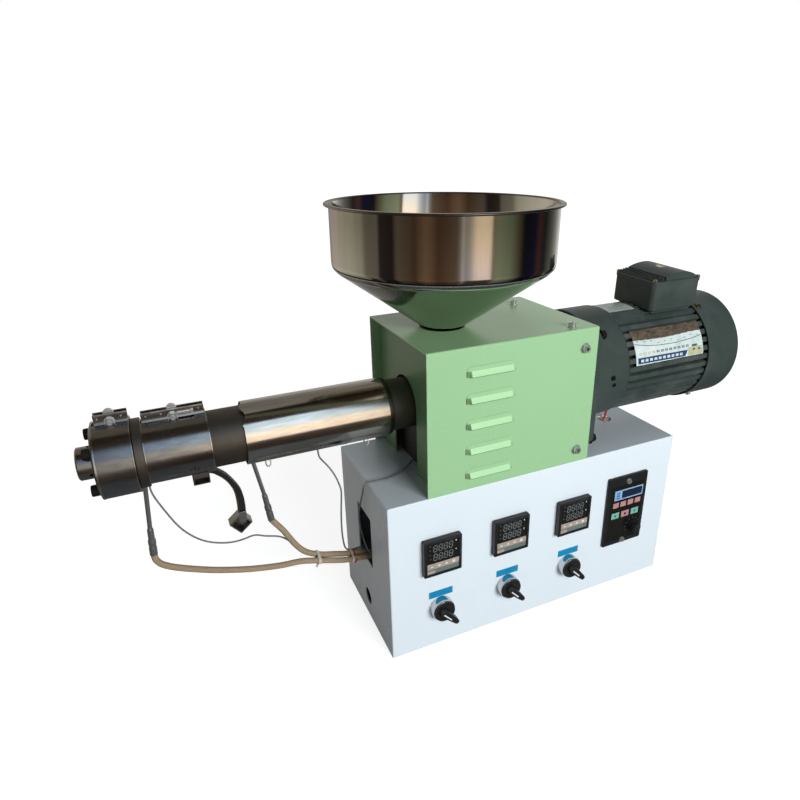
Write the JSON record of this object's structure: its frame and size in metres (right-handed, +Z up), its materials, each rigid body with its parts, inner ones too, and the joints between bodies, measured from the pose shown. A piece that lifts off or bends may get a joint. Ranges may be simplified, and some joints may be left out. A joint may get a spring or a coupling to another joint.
{
  "type": "filament extruder",
  "caption": "Table-top filament extruder: white control cabinet carrying a green hooded feed head with a steel hopper, a heated barrel with a nozzle and a ribbed geared motor.",
  "frame": {"origin": "middle of the cabinet's underside, where it stands on the table", "axes": "+X along the barrel from the nozzle towards the motor, +Y from the control face to the back, +Z up"},
  "size_m": [0.8045, 0.2561, 0.5152],
  "materials": {
    "cabinet_paint": "white powder coat, slightly satin",
    "hood_paint": "light green powder coat",
    "black_steel": "blackened steel plate",
    "black_casting": "black cast metal",
    "motor_paint": "dark grey machine enamel",
    "hopper_steel": "mirror-bright stainless sheet",
    "barrel_steel": "dull dark steel",
    "screw_steel": "ground steel",
    "polished_sheet": "polished stainless sheet",
    "die_steel": "machined steel",
    "probe_steel": "dark steel tail",
    "tan_braid": "tan woven sleeve",
    "grey_wire": "grey insulated wire",
    "red_wire": "red insulated wire",
    "terminal_plastic": "pale terminal plastic",
    "black_plastic": "black moulded plastic",
    "bezel_chrome": "polished chrome ring"
  },
  "bodies": {
    "frame": {"cabinet_tray": "cabinet_paint", "cabinet_front_panel": "cabinet_paint", "cabinet_left_end": "cabinet_paint", "cabinet_deck": "cabinet_paint", "hood_cover": "hood_paint", "hood_end_plate": "hood_paint", "mount_plate": "black_steel", "feed_housing": "black_casting", "gear_flange": "motor_paint", "gear_case": "motor_paint", "motor_body": "motor_paint", "fan_cowl": "motor_paint", "terminal_box": "motor_paint", "terminal_box_lid": "motor_paint", "hopper_wall": "hopper_steel", "hopper_cone": "hopper_steel", "barrel": "barrel_steel", "feed_screw": "screw_steel", "heater_sheath": "polished_sheet", "die_head": "die_steel", "nozzle": "die_steel", "heater_band_front": "polished_sheet", "heater_band_rear": "polished_sheet", "hanging_clamp": "die_steel", "lead_probe_front": "probe_steel", "lead_probe_rear": "probe_steel", "sleeve_front": "tan_braid", "sleeve_rear": "tan_braid", "sensor_wire_front": "grey_wire", "sensor_wire_rear": "grey_wire", "sensor_wire_hood": "grey_wire", "motor_lead_red": "red_wire", "motor_lead_black": "black_plastic", "motor_terminal": "terminal_plastic", "terminal_strip": "terminal_plastic", "controller_1": "black_plastic", "controller_2": "black_plastic", "controller_3": "black_plastic", "selector_bezels": "bezel_chrome", "speed_panel": "black_plastic", "mains_inlet": "black_plastic"},
    "selector_knob_1": {"selector_knob_1": "black_plastic"},
    "selector_knob_2": {"selector_knob_2": "black_plastic"},
    "selector_knob_3": {"selector_knob_3": "black_plastic"},
    "speed_knob": {"speed_knob": "black_plastic"}
  },
  "joints": [
    {"name": "selector_knob_1_turn", "type": "hinge", "parent": "frame", "child": "selector_knob_1", "pos_m": [-0.139, -0.0825, 0.056], "axis": [0, -1, 0], "range_deg": [0, 90]},
    {"name": "selector_knob_2_turn", "type": "hinge", "parent": "frame", "child": "selector_knob_2", "pos_m": [-0.047, -0.0825, 0.056], "axis": [0, -1, 0], "range_deg": [0, 90]},
    {"name": "selector_knob_3_turn", "type": "hinge", "parent": "frame", "child": "selector_knob_3", "pos_m": [0.045, -0.0825, 0.056], "axis": [0, -1, 0], "range_deg": [0, 90]},
    {"name": "speed_knob_turn", "type": "hinge", "parent": "frame", "child": "speed_knob", "pos_m": [0.146, -0.0825, 0.0885], "axis": [0, -1, 0], "range_deg": [-135, 135]}
  ]
}
